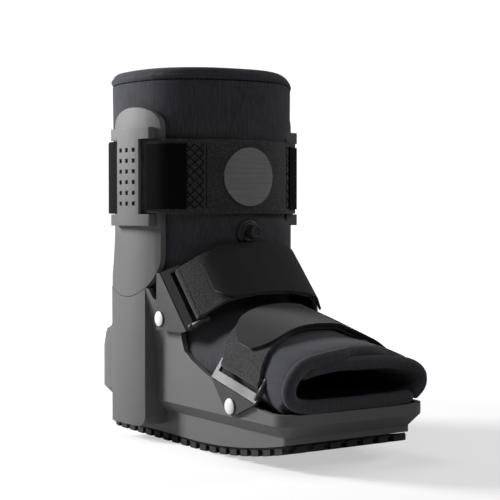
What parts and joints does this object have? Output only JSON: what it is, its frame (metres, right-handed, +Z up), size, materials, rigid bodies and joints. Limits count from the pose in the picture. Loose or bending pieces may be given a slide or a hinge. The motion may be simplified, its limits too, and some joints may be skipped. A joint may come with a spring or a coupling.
{
  "type": "medical walking boot",
  "caption": "Low medical walking boot: rigid rocker-soled shell with side uprights, padded fabric liner open at the top and toe, and hook-and-loop straps.",
  "frame": {"origin": "on the ground plane, under the middle of the boot's outline", "axes": "+X to the boot's right when seen from the toe side with +Y away, +Y from the toe to the heel, +Z up along the leg"},
  "size_m": [0.1384, 0.277, 0.259],
  "materials": {
    "shell": "satin mid-grey moulded plastic",
    "fitting": "smooth grey plastic, slightly darker than the shell",
    "rivet": "white, smooth",
    "tread": "matt black",
    "liner": "brushed dark navy-grey loop fabric over foam",
    "strap": "black woven and loop webbing",
    "hook": "black hook tape",
    "disc": "grey, finely ribbed",
    "valve": "black moulded plastic"
  },
  "bodies": {
    "root": {"boot_shell": "shell", "upright_left": "shell", "upright_right": "shell", "clip_left": "fitting", "clip_right": "fitting", "shin_bracket_left": "fitting", "shin_bracket_right": "fitting", "foot_bracket_left": "fitting", "foot_bracket_right": "fitting", "shin_rivet_left": "rivet", "shin_rivet_right": "rivet", "foot_rivet_left": "rivet", "foot_rivet_right": "rivet", "outsole": "tread", "liner": "liner", "calf_strap": "strap", "shin_strap": "strap", "shin_flap": "strap", "foot_strap": "strap", "foot_flap": "strap", "calf_hook_left": "hook", "calf_hook_right": "hook", "calf_disc": "disc", "valve_base": "valve", "valve_stem": "valve"}
  },
  "joints": []
}
